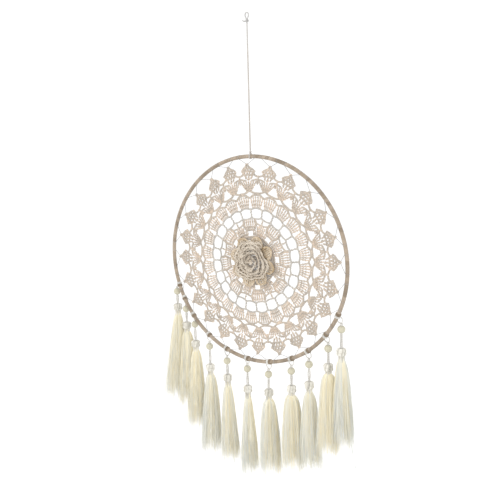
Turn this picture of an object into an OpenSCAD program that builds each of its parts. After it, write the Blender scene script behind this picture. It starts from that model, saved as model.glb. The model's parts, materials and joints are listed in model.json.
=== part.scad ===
// Dream catcher: a wrapped hoop with a crocheted doily and rose, a hanging cord and a row of tassels.
// Millimetres. +Z up. The origin is the inside top of the hanging eye, where the nail bears.
// The hoop lies in the XZ plane and its flower faces -Y.

/* [Hoop] */
// Outside diameter of the wrapped hoop
hoop_od = 250; // [240:1:260]
// Thickness of the hoop with its wrapping
wrap_d = 4.7; // [4.5:0.1:5]
// Diameter of the steel wire inside the wrapping
wire_d = 3.2; // [2.6:0.1:3.6]

/* [Doily] */
// Thickness of the crochet work
doily_t = 2.6; // [2:0.1:3]
// Radius of the doily at its points
doily_r = 114.8; // [114:0.1:115.4]
// Angle of the first point of the doily, from +X towards +Z
doily_turn = 92.5; // [90:0.5:97]

/* [Flower] */
// Radius of the flat back petals
petal_r = 30; // [28:0.5:31]
// Thickness of the back petals
petal_t = 3; // [2:0.1:4]
// Radius of the rose at its outer ruffle
rose_r = 20; // [18:0.5:21]
// Height of each of the three tiers of the rose
rose_tier = 3.4; // [3:0.1:3.6]

/* [Hanging cord] */
// Diameter of the hanging cord
cord_d = 1.8; // [1.6:0.1:2]
// Drop from the top knot's middle to the tie knot's middle
cord_drop = 145; // [145:1:145]

/* [Tassels] */
// Diameter of a wooden bead
bead_d = 9; // [8.6:0.1:9]
// Height of a bead between its two flats
bead_h = 7.8; // [7.4:0.1:7.8]
// Diameter of the doubled cord that carries a tassel
drop_d = 2.2; // [2:0.1:2.2]
// Diameter of the bound head of a tassel
head_d = 11.4; // [10.8:0.1:11.4]
// Radial gap between a tassel's cord and the bore of its head
head_gap = 0.3; // [0.3:0.05:0.4]

/* [Hidden] */
$fn = 64;
play = 0.3;
ends = [for (i = [1 : 11]) str("tassel_", i < 10 ? "0" : "", i)];

// Hanging cord: levels and route
top_knot_r = 2.2;
top_knot_z = -8;
knot_tail = 5;
tie_knot_r = 1.5;
tie_knot_z = top_knot_z - cord_drop;
tie_cord_d = 0.9;
tie_length = 5;
// Cords stand just off the wrapping they go round
cord_gap = 0.05;
eye_w = 4.6;
leg_length = 2.6;
leg_lean = 18;
cord_route = concat([[0, 0, -10.5]], [for (z = [-20 : -10 : -150]) [0, 0, z]], [[0, 0, -151.2]]);

// Hoop
hoop_r = (hoop_od - wrap_d) / 2;
hoop_top = tie_knot_z - tie_length;
hoop_z = hoop_top - hoop_r;
// The wire's surface stands just off the wrapping's bore
wire_gap = 0.04;

// Doily: number of leaves, the angle between two of them, and where the lacing thread ends
leaves = 24;
leaf_pitch = 360 / leaves;
lacing_d = 0.4;
lacing_spread = 5;

// Tassels, left to right: angle on the hoop, place across, drop of the knot, cord and skirt
loop_angle = [-162, -153.4, -141.6, -126, -111.6, -96.6, -81.6, -66.6, -54.6, -39.6, -26];
drop_x = [-123.5, -109.5, -95.8, -73, -45.8, -15, 16, 48, 72, 97, 113.5];
knot_drop = [6.5, 11.4, 9, 12, 12, 9, 11, 10, 10.3, 9.2, 9];
head_drop = [21, 22, 26, 28, 22, 26, 23, 22, 25, 22, 26];
skirt_len = [108, 104, 110, 108, 104, 109, 103, 100, 98, 107, 111];
skirt_r = [6.6, 6.6, 6.6, 8.5, 9, 9.5, 11, 10, 9, 7.8, 7.8];
// The loops leave the back of the hoop, so the tassels hang a little behind its middle
loop_d = 1.2;
hang_y = (wrap_d + loop_d) / 2 + cord_gap;
turn_step = 0.65;
loop_near = 2.2;
knot_r = 1.7;
bead_gap = 0.2;
head_bulge = 2.3;
head_row = 1.9;
head_half = head_row + head_bulge;
neck_r = 3.4;
cord_end = 1;

function hoop_x(i) = hoop_r * cos(loop_angle[i]);
function loop_z(i) = hoop_z + hoop_r * sin(loop_angle[i]);
function knot_z(i) = loop_z(i) - knot_drop[i];
function bead_z(i) = knot_z(i) - knot_r - bead_gap - bead_h / 2;
function head_z(i) = bead_z(i) - head_drop[i];

// Rings of equal polygons along a route that runs mostly up and down, as one closed tube
module tube(route, d, sides) {
    n = len(route);
    step = 360 / sides;
    points = [for (p = route) for (s = [0 : sides - 1]) p + d / 2 * [cos(s * step), sin(s * step), 0]];
    walls = [
        for (i = [0 : n - 2]) for (s = [0 : sides - 1])
            let (here = i * sides, below = here + sides, next = (s + 1) % sides)
            [here + s, here + next, below + next, below + s]
    ];
    top = [[for (s = [sides - 1 : -1 : 0]) s]];
    bottom = [[for (s = [0 : sides - 1]) (n - 1) * sides + s]];
    polyhedron(points, concat(top, walls, bottom));
}

// A ring of round cord lying in the XZ plane
module cord_ring(r, d) {
    rotate([90, 0, 0]) rotate_extrude() translate([r, 0]) circle(d = d);
}

// Point at a radius and an angle from the first point of the doily
function polar(r, a) = [r * cos(doily_turn + a), r * sin(doily_turn + a)];

module hang_eye() {
    inner = (eye_w - cord_d) / 2;
    color("lightgray") translate([0, 0, -inner]) {
        rotate([90, 0, 0]) rotate_extrude(angle = 180) translate([eye_w / 2, 0]) circle(d = cord_d);
        for (side = [-1, 1]) translate([side * eye_w / 2, 0, 0]) cord_leg(side);
    }
}

// One leg of the eye, leaning in until it meets the knot
module cord_leg(side) {
    rotate([0, side * leg_lean, 0]) translate([0, 0, -leg_length]) cylinder(h = leg_length, d = cord_d);
}

module top_knot() {
    color("lightgray") translate([0, 0, top_knot_z]) {
        sphere(r = top_knot_r);
        rotate([0, -80, 0]) cylinder(h = knot_tail, d = cord_d);
    }
}

module hang_cord() {
    color("tan") tube(cord_route, cord_d, 8);
}

module tie_knot() {
    color("tan") translate([0, 0, tie_knot_z]) sphere(r = tie_knot_r);
}

// Two turns of cord round the top of the hoop
module tie_loop() {
    color("tan") for (side = [-1, 1])
        translate([side * tie_cord_d / 2, 0, hoop_top]) rotate([0, 90, 0])
            rotate_extrude() translate([(wrap_d + tie_cord_d) / 2 + cord_gap, 0]) circle(d = tie_cord_d);
}

module hoop_ring() {
    color("silver") translate([0, 0, hoop_z]) cord_ring(hoop_r, wire_d - wire_gap);
}

module hoop_wrap() {
    color("burlywood") translate([0, 0, hoop_z]) rotate([90, 0, 0])
        rotate_extrude($fn = 128) translate([hoop_r, 0]) difference() {
            circle(d = wrap_d);
            circle(d = wire_d);
        }
}

// Outline of the doily: twenty-four pointed leaves
module doily_outline() {
    flank = [[97, 5.4], [101, 4.4], [106.5, 4.8], [109, 2.2]];
    left = [for (p = flank) [p[0], -p[1]]];
    right = [for (i = [3 : -1 : 0]) flank[i]];
    leaf = concat([[92.5, -leaf_pitch / 2]], left, [[doily_r, 0]], right);
    polygon([for (k = [0 : leaves - 1]) for (p = leaf) polar(p[0], leaf_pitch * k + p[1])]);
}

// Cell between two radii and two angles, with straight sides
module cell(r0, r1, a, half) {
    polygon([polar(r0, a - half), polar(r1, a - half), polar(r1, a + half), polar(r0, a + half)]);
}

// The openings of the crochet that lie on one leaf's axis, at angle a, or halfway to the next leaf
module leaf_openings(a) {
    between = a + leaf_pitch / 2;
    cell(51.5, 60.5, between, 5.8);
    cell(64, 70.5, a, 1.1);
    translate(polar(78.5, a)) circle(r = 2.6);
    polygon([
        polar(81.5, between - 3.7),
        polar(88.5, between - 1.3),
        polar(88.5, between + 1.3),
        polar(81.5, between + 3.7)
    ]);
    for (side = [-1, 1]) translate(polar(97.5, a + side * 2.6)) circle(r = 1.5);
}

// The openings of the crochet between two of the eight inner blocks, and under one
module block_openings(a) {
    polygon([polar(42, a + 22.5), polar(48.5, a + 15), polar(48.5, a + 30)]);
    translate(polar(32.6, a)) circle(r = 2.2);
}

module doily_holes() {
    for (k = [0 : leaves - 1]) leaf_openings(leaf_pitch * k);
    for (k = [0 : 7]) block_openings(45 * k + 5);
}

module doily() {
    color("antiquewhite") translate([0, doily_t / 2, hoop_z]) rotate([90, 0, 0])
        linear_extrude(height = doily_t) difference() {
            doily_outline();
            doily_holes();
        }
}

// Disc with round lobes, lying in the XZ plane and standing towards -Y from depth
module lobed_disc(r, lobes, lobe_r, turn, depth, height) {
    translate([0, -depth, hoop_z]) rotate([90, 0, 0]) linear_extrude(height = height) {
        circle(r = r - lobe_r);
        for (k = [0 : lobes - 1]) rotate(turn + k * 360 / lobes) translate([r - lobe_r, 0]) circle(r = lobe_r);
    }
}

module flower_petals() {
    color("tan") lobed_disc(petal_r, 8, 9, 30, doily_t / 2, petal_t);
}

module flower_rose() {
    color("rosybrown") for (tier = [0 : 2]) {
        lobe_r = 7 - 1.5 * tier;
        depth = doily_t / 2 + petal_t + tier * rose_tier;
        lobed_disc(rose_r - 5 * tier, 7 - tier, lobe_r, 20 * tier, depth, rose_tier);
    }
}

// Fine thread from each point of the doily out to the hoop, in a V
module lacing_thread() {
    tip = doily_r + 0.3;
    reach = hoop_r - wrap_d / 2 - cord_gap;
    color("ghostwhite") translate([0, 0, hoop_z]) rotate([90, 0, 0])
        for (k = [0 : leaves - 1]) for (side = [-1, 1]) {
            from = polar(tip, leaf_pitch * k + side * 0.2);
            run = polar(reach, leaf_pitch * k + side * lacing_spread) - from;
            translate([from[0], from[1], 0]) rotate(atan2(run[1], run[0])) rotate([0, 90, 0])
                cylinder(h = norm(run), d = lacing_d);
        }
}

// Two turns of one tassel's cord round the hoop
module loop_turn(i) {
    for (side = [-1, 1])
        translate([hoop_x(i), 0, loop_z(i)]) rotate([0, -loop_angle[i], 0])
            translate([0, 0, side * turn_step]) rotate_extrude() translate([hang_y, 0]) circle(d = loop_d);
}

module loop_turns() {
    color("white") for (i = [0 : 10]) loop_turn(i);
}

// One tassel's open loop, from behind the hoop down to just above the knot
module tassel_loop(i) {
    start = [hoop_x(i), loop_z(i)];
    run = [drop_x[i], knot_z(i)] - start;
    far = norm(run) - knot_r - play - loop_d / 2;
    middle = start + run / norm(run) * (loop_near + far) / 2;
    translate([middle[0], hang_y, middle[1]]) cord_ring((far - loop_near) / 2, loop_d);
}

module tassel_loops() {
    color("white") for (i = [0 : 10]) tassel_loop(i);
}

// Knot and doubled cord, from the loop down into the head
module tassel_cord(i) {
    bottom = head_z(i) - head_half + cord_end;
    color("white") {
        translate([drop_x[i], hang_y, knot_z(i)]) sphere(r = knot_r);
        translate([drop_x[i], hang_y, bottom]) cylinder(h = knot_z(i) - bottom, d = drop_d);
    }
}

module tassel_bead(i) {
    color("khaki") translate([drop_x[i], hang_y, bead_z(i)]) difference() {
        intersection() {
            sphere(d = bead_d);
            cube([bead_d + 1, bead_d + 1, bead_h], center = true);
        }
        cylinder(h = bead_h + 2, d = drop_d + 0.1, center = true);
    }
}

// Turban of two bulging rows with the cord's bore through it
module tassel_head(i) {
    bore_r = drop_d / 2 + head_gap;
    color("ivory") translate([drop_x[i], hang_y, head_z(i)]) rotate_extrude() intersection() {
        union() {
            for (row = [-head_row, head_row]) translate([head_d / 2 - head_bulge, row]) circle(r = head_bulge);
            translate([bore_r, -2 * head_row]) square([head_d / 2 - head_bulge - bore_r, 4 * head_row]);
        }
        translate([bore_r, -head_half]) square([head_d, 2 * head_half]);
    }
}

// Strands below the head, narrow at the neck and flared to the cut ends
module tassel_skirt(i) {
    r = skirt_r[i];
    top = -head_half - 0.05;
    neck = [[0, top], [neck_r, top], [neck_r - 0.3, -8]];
    flare = [[0.62 * r, -18], [0.86 * r, -40], [r, -72]];
    profile = concat(neck, flare, [[r, -skirt_len[i]], [0, -skirt_len[i]]]);
    color("ivory") translate([drop_x[i], hang_y, head_z(i)]) rotate_extrude() polygon(profile);
}

hang_eye();
top_knot();
hang_cord();
tie_knot();
tie_loop();
hoop_ring();
hoop_wrap();
doily();
flower_petals();
flower_rose();
lacing_thread();
loop_turns();
tassel_loops();
for (i = [0 : 10]) tassel_cord(i);
for (i = [0 : 10]) tassel_bead(i);
for (i = [0 : 10]) tassel_head(i);
for (i = [0 : 10]) tassel_skirt(i);
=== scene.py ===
"""A dream catcher in Blender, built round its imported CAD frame: crochet, cords, beads and silk tassels."""
import json
import math

import bpy
import numpy as np
from mathutils import Matrix, Vector


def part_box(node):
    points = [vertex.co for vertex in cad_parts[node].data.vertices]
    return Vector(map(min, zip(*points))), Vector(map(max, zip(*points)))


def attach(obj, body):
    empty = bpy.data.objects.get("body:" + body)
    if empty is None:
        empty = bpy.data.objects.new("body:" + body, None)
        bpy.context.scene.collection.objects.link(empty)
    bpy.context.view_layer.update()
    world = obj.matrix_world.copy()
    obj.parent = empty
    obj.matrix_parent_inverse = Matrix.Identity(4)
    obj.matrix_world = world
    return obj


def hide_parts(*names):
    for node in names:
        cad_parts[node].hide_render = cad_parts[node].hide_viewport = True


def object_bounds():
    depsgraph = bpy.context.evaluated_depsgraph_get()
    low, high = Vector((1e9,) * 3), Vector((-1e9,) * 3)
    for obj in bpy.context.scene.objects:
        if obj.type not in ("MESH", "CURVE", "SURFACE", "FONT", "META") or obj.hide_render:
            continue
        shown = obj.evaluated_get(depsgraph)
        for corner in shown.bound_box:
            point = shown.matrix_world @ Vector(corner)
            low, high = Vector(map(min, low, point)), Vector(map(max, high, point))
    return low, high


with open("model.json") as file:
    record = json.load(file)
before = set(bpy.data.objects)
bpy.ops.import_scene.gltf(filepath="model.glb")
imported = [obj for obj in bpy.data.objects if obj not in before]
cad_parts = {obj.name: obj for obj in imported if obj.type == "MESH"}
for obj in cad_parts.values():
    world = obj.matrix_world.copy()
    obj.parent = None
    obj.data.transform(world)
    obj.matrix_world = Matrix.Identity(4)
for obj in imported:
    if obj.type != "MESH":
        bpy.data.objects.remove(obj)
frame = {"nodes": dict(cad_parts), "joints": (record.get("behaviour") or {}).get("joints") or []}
cad_low, cad_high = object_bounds()
MM = 0.001
TAU = 2 * math.pi
random = np.random.default_rng(11)
uniform, gauss = random.uniform, random.normal
FRONT = np.array([0.0, -1.0, 0.0])
BACK = np.array([0, 1.0, 0])
UP = np.array([0, 0, 1.0])


def node_box(node):
    """Lowest and highest corners of a CAD node at rest, in millimetres."""
    return [np.array(v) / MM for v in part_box(node)]


# --- driving dimensions, in millimetres
HOOP_LOW, HOOP_HIGH = node_box("hoop_wrap")
WRAP_D = HOOP_HIGH[1] - HOOP_LOW[1]
HOOP_R = (HOOP_HIGH[0] - HOOP_LOW[0] - WRAP_D) / 2
HOOP_Z = (HOOP_HIGH[2] + HOOP_LOW[2]) / 2
HOOP_TOP = HOOP_Z + HOOP_R
# The doily: angle of its first leaf, number of leaves, angle between two, radius of its tips, its yarn
DOILY_TURN = 92.5
LEAF_COUNT = 24
PITCH = 360 // LEAF_COUNT
TIP_R = 114.3
YARN_R = 0.56
# The flower: how far it sits off the middle, and the turns of the rolled rose
FLOWER_SHIFT = 1.5
ROSE_TURNS = 4.4
# The hanging cord, from part.scad
TOP_KNOT_Z, TIE_KNOT_Z = -8.0, -153.0
CORD_LAY = 4.4
# The tassels, left to right: where their loops are on the hoop, then each skirt's tone from white to
# cream, lean, radius, flare, stray strands (across, down) and length as a share of the CAD's
TASSELS = ["%02d" % i for i in range(1, 12)]
LOOP_ANGLES = [-162, -153.4, -141.6, -126, -111.6, -96.6, -81.6, -66.6, -54.6, -39.6, -26]
SKIRT_TINT = [0.62, 0.72, 0.6, 0.42, 0.52, 0.42, 0.52, 0.66, 0.45, 0.74, 0.25]
SKIRT_LEAN = [-5, -1.5, -2, -2, 1, 0.5, 0, 1.5, 0.5, -1.5, 1.5]
SKIRT_WIDE = [14, 14, 13.5, 14.5, 12.5, 12, 15, 15.5, 14, 14, 14]
SKIRT_FLARE = [0.45, 0.36, 0.36, 0.4, 0.45, 0.52, 0.34, 0.25, 0.36, 0.24, 0.45]
SKIRT_STRAYS = {10: [(17.5, 1.2), (14.5, 1.05)], 4: [(8.0, 1.08)], 0: [(-12.0, 1.16)]}
SKIRT_REACH = [1.1, 1.0, 0.99, 1.01, 1.01, 0.98, 0.98, 0.97, 1.03, 0.94, 0.96]
CORD_ROUTE = [(0, 0, -10.5)] + [(0, 0, z) for z in range(-20, -151, -10)] + [(0, 0, -151.2)]


# --- camera, light and stage
def make_camera():
    """The camera stands to the right of the flower, a little above, as the photograph was taken."""
    azimuth, elevation, roll = math.radians(34.6), math.radians(9.0), math.radians(1.55)
    distance, off_right, off_up = 762.1, -3.8, 12.9
    right = Vector((math.cos(azimuth), math.sin(azimuth), 0))
    level = math.cos(elevation)
    back = Vector((math.sin(azimuth) * level, -math.cos(azimuth) * level, math.sin(elevation)))
    up = back.cross(right)
    side = math.cos(roll) * right - math.sin(roll) * up
    top = math.sin(roll) * right + math.cos(roll) * up
    place = Vector((0, 0, HOOP_Z)) + off_right * side + off_up * top + distance * back
    data = bpy.data.cameras.new("camera")
    data.sensor_width = 36
    data.lens = 46.35
    data.clip_start, data.clip_end = 0.01, 50
    camera = bpy.data.objects.new("camera", data)
    camera.matrix_world = Matrix.Translation(place * MM) @ Matrix((side, top, back)).transposed().to_4x4()
    bpy.context.scene.collection.objects.link(camera)
    bpy.context.scene.camera = camera


def area_light(name, place, aim, size, power, colour):
    """A soft square light at a place in metres, turned towards aim."""
    data = bpy.data.lights.new(name, "AREA")
    data.shape = "SQUARE"
    data.size = size
    data.energy = power
    data.color = colour
    light = bpy.data.objects.new(name, data)
    light.location = place
    light.rotation_mode = "QUATERNION"
    light.rotation_quaternion = (Vector(aim) - Vector(place)).to_track_quat("-Z", "Y")
    bpy.context.scene.collection.objects.link(light)


def make_stage():
    """A white surround, two soft lights and a pale floor below the lowest tassel."""
    world = bpy.data.worlds.new("studio")
    world.use_nodes = True
    surround = world.node_tree.nodes["Background"].inputs
    surround["Color"].default_value = (1.0, 1.0, 1.0, 1)
    surround["Strength"].default_value = 1.1
    bpy.context.scene.world = world
    bpy.context.scene.view_settings.view_transform = "Standard"
    middle = (0, 0, -0.3)
    area_light("key", (-0.9, -1.3, 0.5), middle, 0.7, 8, (1.0, 0.98, 0.95))
    area_light("fill", (1.5, -1.0, 0.2), middle, 1.0, 6, (0.96, 0.98, 1.0))
    floor_gap = 0.12
    bpy.ops.mesh.primitive_plane_add(size=40, location=(0, 0, float(cad_low[2]) - floor_gap))
    floor = bpy.context.object
    floor.name = "floor"
    material = bpy.data.materials.new("floor_white")
    material.use_nodes = True
    paint = material.node_tree.nodes["Principled BSDF"].inputs
    paint["Base Color"].default_value = (0.96, 0.96, 0.96, 1)
    paint["Roughness"].default_value = 0.9
    floor.data.materials.append(material)


# --- materials
class Nodes:
    """Short names for building one material's node tree."""

    def __init__(self, name):
        self.material = bpy.data.materials.new(name)
        self.material.use_nodes = True
        self.tree = self.material.node_tree
        self.shader = self.tree.nodes["Principled BSDF"]

    def add(self, kind, **inputs):
        return self.fill(self.tree.nodes.new("ShaderNode" + kind), inputs)

    def fill(self, node, inputs):
        for key, value in inputs.items():
            self.feed(node, key.replace("_", " "), value)
        return node

    def feed(self, node, key, value):
        """Sets one input, by name or number, from a socket, a number or a colour."""
        if isinstance(value, bpy.types.NodeSocket):
            self.tree.links.new(value, node.inputs[key])
        else:
            node.inputs[key].default_value = (*value, 1) if isinstance(value, tuple) else value

    def place(self):
        return self.add("TexCoord").outputs["Object"]

    def tone(self):
        """The tone stored at each point of a strand."""
        node = self.add("Attribute")
        node.attribute_name = "tone"
        return node.outputs["Fac"]

    def stretched(self, vector, along):
        """The vector with its upright part scaled, so that a pattern runs along the strands."""
        node = self.add("Mapping", Vector=vector)
        node.inputs["Scale"].default_value = (1, 1, along)
        return node.outputs[0]

    def blend(self, a, share, b):
        """Two factors added, the first with its share and the second with the rest."""
        rest = round(1 - share, 3)
        return self.math("ADD", self.math("MULTIPLY", a, share), self.math("MULTIPLY", b, rest))

    def greys(self, factor, low, high):
        return self.ramp(factor, [(0.2, (low, low, low)), (0.8, (high, high, high))])

    def math(self, operation, a, b=0.0):
        node = self.add("Math")
        node.operation = operation
        self.feed(node, 0, a)
        self.feed(node, 1, b)
        return node.outputs[0]

    def noise(self, vector, scale, detail=3.0, rough=0.55):
        node = self.add("TexNoise", Vector=vector, Scale=scale, Detail=detail, Roughness=rough)
        return node.outputs["Fac"]

    def ramp(self, factor, stops):
        node = self.add("ValToRGB", Fac=factor)
        points = node.color_ramp.elements
        while len(points) < len(stops):
            points.new(0.5)
        for point, (place, colour) in zip(points, stops):
            point.position = place
            point.color = (*colour, 1)
        return node.outputs["Color"]

    def mix(self, factor, a, b, kind="MIX"):
        node = self.add("Mix")
        node.data_type = "RGBA"
        node.blend_type = kind
        for index, value in ((0, factor), (6, a), (7, b)):
            self.feed(node, index, value)
        return node.outputs[2]

    def bump(self, height, strength, distance):
        return self.add("Bump", Strength=strength, Distance=distance, Height=height).outputs["Normal"]

    def finish(self, **inputs):
        """The material, once the shader has these inputs."""
        self.fill(self.shader, inputs)
        return self.material


def yarn_material(name, dark, middle, light, plies=3, pitch=4.2, rough=0.9, sheen=0.1):
    """Twisted yarn: plies wind round each tube by its UV, with painted shade darkening the grooves between
    them, lint, stains and a tone for each stitch.
    """
    n = Nodes(name)
    fuzz = 0.5
    place = n.place()
    uv = n.add("SeparateXYZ", Vector=n.add("UVMap").outputs["UV"])
    round_it = n.math("MULTIPLY", uv.outputs[0], TAU * plies)
    along_it = n.math("MULTIPLY", uv.outputs[1], TAU / pitch * plies)
    turn = n.math("ADD", round_it, along_it)
    ply = n.math("ABSOLUTE", n.math("SINE", n.math("MULTIPLY", turn, 0.5)))
    fibre = n.noise(place, 2600, 2.0)
    shade = n.blend(n.tone(), 0.45, n.noise(place, 55, 2.0))
    base = n.ramp(shade, [(0.2, dark), (0.5, middle), (0.8, light)])
    # Painted shade: the colour is darkened in the grooves between the plies.
    ply_groove_shade = n.ramp(ply, [(0.0, (0.72, 0.68, 0.63)), (0.45, (1, 1, 1))])
    colour = n.mix(0.8, base, ply_groove_shade, "MULTIPLY")
    colour = n.mix(n.math("MULTIPLY", fibre, 0.22), colour, light)
    normal = n.bump(n.math("ADD", ply, n.math("MULTIPLY", fibre, fuzz)), 0.55, 0.00025)
    return n.finish(
        Base_Color=colour, Roughness=rough, Normal=normal, Sheen_Weight=sheen, Sheen_Roughness=0.6,
        Specular_IOR_Level=0.2,
    )


def wood_material():
    """Pale turned wood with fine upright grain and flecks."""
    n = Nodes("bead_wood")
    place = n.place()
    stretch = n.stretched(place, 0.12)
    grain = n.noise(stretch, 1500, 4.0, 0.6)
    rings = n.add("TexWave", Vector=stretch, Scale=420.0, Distortion=6.0, Detail=2.0)
    fleck = n.noise(place, 900, 2.0)
    shade = n.blend(grain, 0.6, rings.outputs["Fac"])
    base = n.ramp(shade, [(0.25, (0.36, 0.33, 0.24)), (0.5, (0.51, 0.48, 0.36)), (0.75, (0.64, 0.61, 0.48))])
    colour = n.mix(n.math("MULTIPLY", fleck, 0.25), base, (0.64, 0.62, 0.5))
    normal = n.bump(shade, 0.25, 0.0002)
    return n.finish(
        Base_Color=colour, Roughness=n.greys(grain, 0.45, 0.65), Normal=normal, Specular_IOR_Level=0.4
    )


def silk_material(name, low, middle, high, painted_glow):
    """Fine glossy strands, coloured by their tone, with faint painted light from emission that lifts their
    shade, in place of the light they let through.
    """
    n = Nodes(name)
    place = n.place()
    shade = n.blend(n.tone(), 0.8, n.noise(place, 60, 2.0))
    base = n.ramp(shade, [(0.1, low), (0.5, middle), (0.9, high)])
    lines = n.noise(n.stretched(place, 0.04), 4200, 2.0)
    colour = n.mix(n.math("MULTIPLY", lines, 0.2), base, (0.9, 0.89, 0.84))
    return n.finish(
        Base_Color=colour, Roughness=n.greys(lines, 0.3, 0.5), Normal=n.bump(lines, 0.3, 0.0001),
        Specular_IOR_Level=0.4, Sheen_Weight=0.2, Sheen_Roughness=0.4,
        # Painted light: the strands emit their own colour, which lifts their shade.
        Emission_Color=colour, Emission_Strength=painted_glow,
    )


def steel_material():
    """Drawn wire, finely scratched."""
    n = Nodes("drawn_wire")
    scratch = n.noise(n.place(), 3000, 3.0)
    colour = n.ramp(scratch, [(0.2, (0.5, 0.5, 0.5)), (0.8, (0.62, 0.62, 0.61))])
    return n.finish(
        Base_Color=colour, Roughness=n.greys(scratch, 0.3, 0.5), Metallic=1.0,
        Normal=n.bump(scratch, 0.1, 0.0001),
    )


# --- tubes, in millimetres, many at a time
def frames(paths, closed):
    """Tangent, normal and side at each point of each path, carried along without twisting."""
    if closed:
        tangent = np.roll(paths, -1, axis=1) - np.roll(paths, 1, axis=1)
    else:
        tangent = np.gradient(paths, axis=1)
    tangent /= np.linalg.norm(tangent, axis=2, keepdims=True) + 1e-12
    first = tangent[:, 0]
    guess = np.where(np.abs(first[:, 1:2]) < 0.9, [[0.0, 1.0, 0.0]], [[1.0, 0.0, 0.0]])
    normal = np.empty_like(paths)
    now = np.cross(first, np.cross(guess, first))
    for i in range(paths.shape[1]):
        now = now - (now * tangent[:, i]).sum(1, keepdims=True) * tangent[:, i]
        now = now / (np.linalg.norm(now, axis=1, keepdims=True) + 1e-12)
        normal[:, i] = now
    return tangent, normal, np.cross(tangent, normal)


def quad_uv(u0, u1, v0, v1):
    """UV of the four corners of each quad."""
    return np.stack([np.stack(c, -1) for c in ((u0, v0), (u1, v0), (u1, v1), (u0, v1))], -2).reshape(-1, 2)


def quad_arrays(points, quad, uv, tones):
    """A surface of quads in the form that mesh_piece takes."""
    quad = quad.reshape(-1, 4)
    return [points.reshape(-1, 3), quad.ravel(), np.arange(len(quad)) * 4, uv, tones]


class Tubes:
    """Collects strands and turns them into one mesh, with a UV round and along each and a tone for each."""

    def __init__(self):
        self.groups = {}

    def add(self, points, radius=YARN_R, closed=False, sides=6, tone=None):
        points = np.asarray(points, float)
        tone = random.random() if tone is None else tone
        radius = np.broadcast_to(np.asarray(radius, float), len(points))
        tone = np.broadcast_to(np.asarray(tone, float), len(points))
        self.groups.setdefault((len(points), closed, sides), []).append((points, radius, tone))

    def arrays(self):
        verts, loops, starts, uvs, tones = [], [], [], [], []
        v_count, l_count = 0, 0
        for (count, closed, sides), strands in self.groups.items():
            paths = np.stack([s[0] for s in strands])
            radii = np.stack([s[1] for s in strands])
            tone = np.stack([s[2] for s in strands])
            total = len(strands)
            tangent, normal, side = frames(paths, closed)
            angle = np.arange(sides) * TAU / sides
            ring = normal[:, :, None] * np.cos(angle)[:, None] + side[:, :, None] * np.sin(angle)[:, None]
            verts.append((paths[:, :, None] + ring * radii[:, :, None, None]).reshape(-1, 3))
            tones.append(np.repeat(tone.ravel(), sides))
            step = np.linalg.norm(np.diff(paths, axis=1), axis=2)
            along = np.concatenate([np.zeros((total, 1)), np.cumsum(step, axis=1)], axis=1)
            last = np.linalg.norm(paths[:, 0] - paths[:, -1], axis=1)
            along = np.concatenate([along, along[:, -1:] + last[:, None]], axis=1)
            spans = count if closed else count - 1
            t, i, j = np.meshgrid(np.arange(total), np.arange(spans), np.arange(sides), indexing="ij")
            after = (j + 1) % sides
            base = v_count + t * count * sides
            near, far = base + i * sides, base + (i + 1) % count * sides
            quad = np.stack([near + j, near + after, far + after, far + j], -1).reshape(-1, 4)
            loops.append(quad.ravel())
            uvs.append(quad_uv(j / sides, (j + 1) / sides, along[t, i], along[t, i + 1]))
            starts.append(l_count + np.arange(len(quad)) * 4)
            l_count += quad.size
            if not closed:
                rim = np.arange(sides)
                first = v_count + np.arange(total)[:, None] * count * sides
                caps = np.concatenate([first + rim[::-1], first + (count - 1) * sides + rim])
                loops.append(caps.ravel())
                uvs.append(np.zeros((caps.size, 2)))
                starts.append(l_count + np.arange(len(caps)) * sides)
                l_count += caps.size
            v_count += total * count * sides
        return [np.concatenate(a) for a in (verts, loops, starts, uvs, tones)]


def mesh_piece(name, arrays, material, body, nodes=()):
    """One finished piece from plain arrays: millimetres in, a smooth mesh in metres out."""
    verts, loops, starts, uvs, tones = arrays
    mesh = bpy.data.meshes.new(name)
    mesh.vertices.add(len(verts))
    mesh.vertices.foreach_set("co", (verts * MM).astype(np.float32).ravel())
    mesh.loops.add(len(loops))
    mesh.loops.foreach_set("vertex_index", loops.astype(np.int32))
    mesh.polygons.add(len(starts))
    mesh.polygons.foreach_set("loop_start", starts.astype(np.int32))
    mesh.update(calc_edges=True)
    mesh.polygons.foreach_set("use_smooth", np.ones(len(starts), bool))
    layer = mesh.uv_layers.new(name="strand")
    layer.uv.foreach_set("vector", uvs.astype(np.float32).ravel())
    tone = mesh.attributes.new("tone", "FLOAT", "POINT")
    tone.data.foreach_set("value", tones.astype(np.float32))
    mesh.materials.append(material)
    piece = bpy.data.objects.new(name, mesh)
    bpy.context.scene.collection.objects.link(piece)
    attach(piece, body)
    if nodes:
        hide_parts(*nodes)
    return piece


def circle(count):
    """Angles evenly round a circle, as a column."""
    return np.arange(count)[:, None] * TAU / count


def upright(r, angle, z=0.0):
    """Points at radius r and an angle round an upright line, at height z."""
    return np.stack(np.broadcast_arrays(r * np.cos(angle), r * np.sin(angle), z), -1)


def measured(route):
    """How far along its length each point of a route is."""
    return np.concatenate([[0], np.cumsum(np.linalg.norm(np.diff(route, axis=0), axis=1))])


def spline(points, count, closed=False):
    """Catmull-Rom through the points, at count even steps of its parameter."""
    p = np.asarray(points, float)
    n = len(p)
    t = np.linspace(0, n if closed else n - 1, count, endpoint=not closed)
    i = np.minimum(t.astype(int), n - 1 if closed else n - 2)
    f = (t - i)[:, None]
    if closed:
        a, b, c, d = p[(i - 1) % n], p[i % n], p[(i + 1) % n], p[(i + 2) % n]
    else:
        a, b, c, d = p[np.maximum(i - 1, 0)], p[i], p[i + 1], p[np.minimum(i + 2, n - 1)]
    return 0.5 * (2 * b + (c - a) * f + (2 * a - 5 * b + 4 * c - d) * f**2 + (3 * b - a - 3 * c + d) * f**3)


# --- crochet stitches
def jitter(size=0.25):
    """A small random step either way."""
    return uniform(-size, size)


def unit(v):
    return v / (np.linalg.norm(v) + 1e-12)


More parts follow.
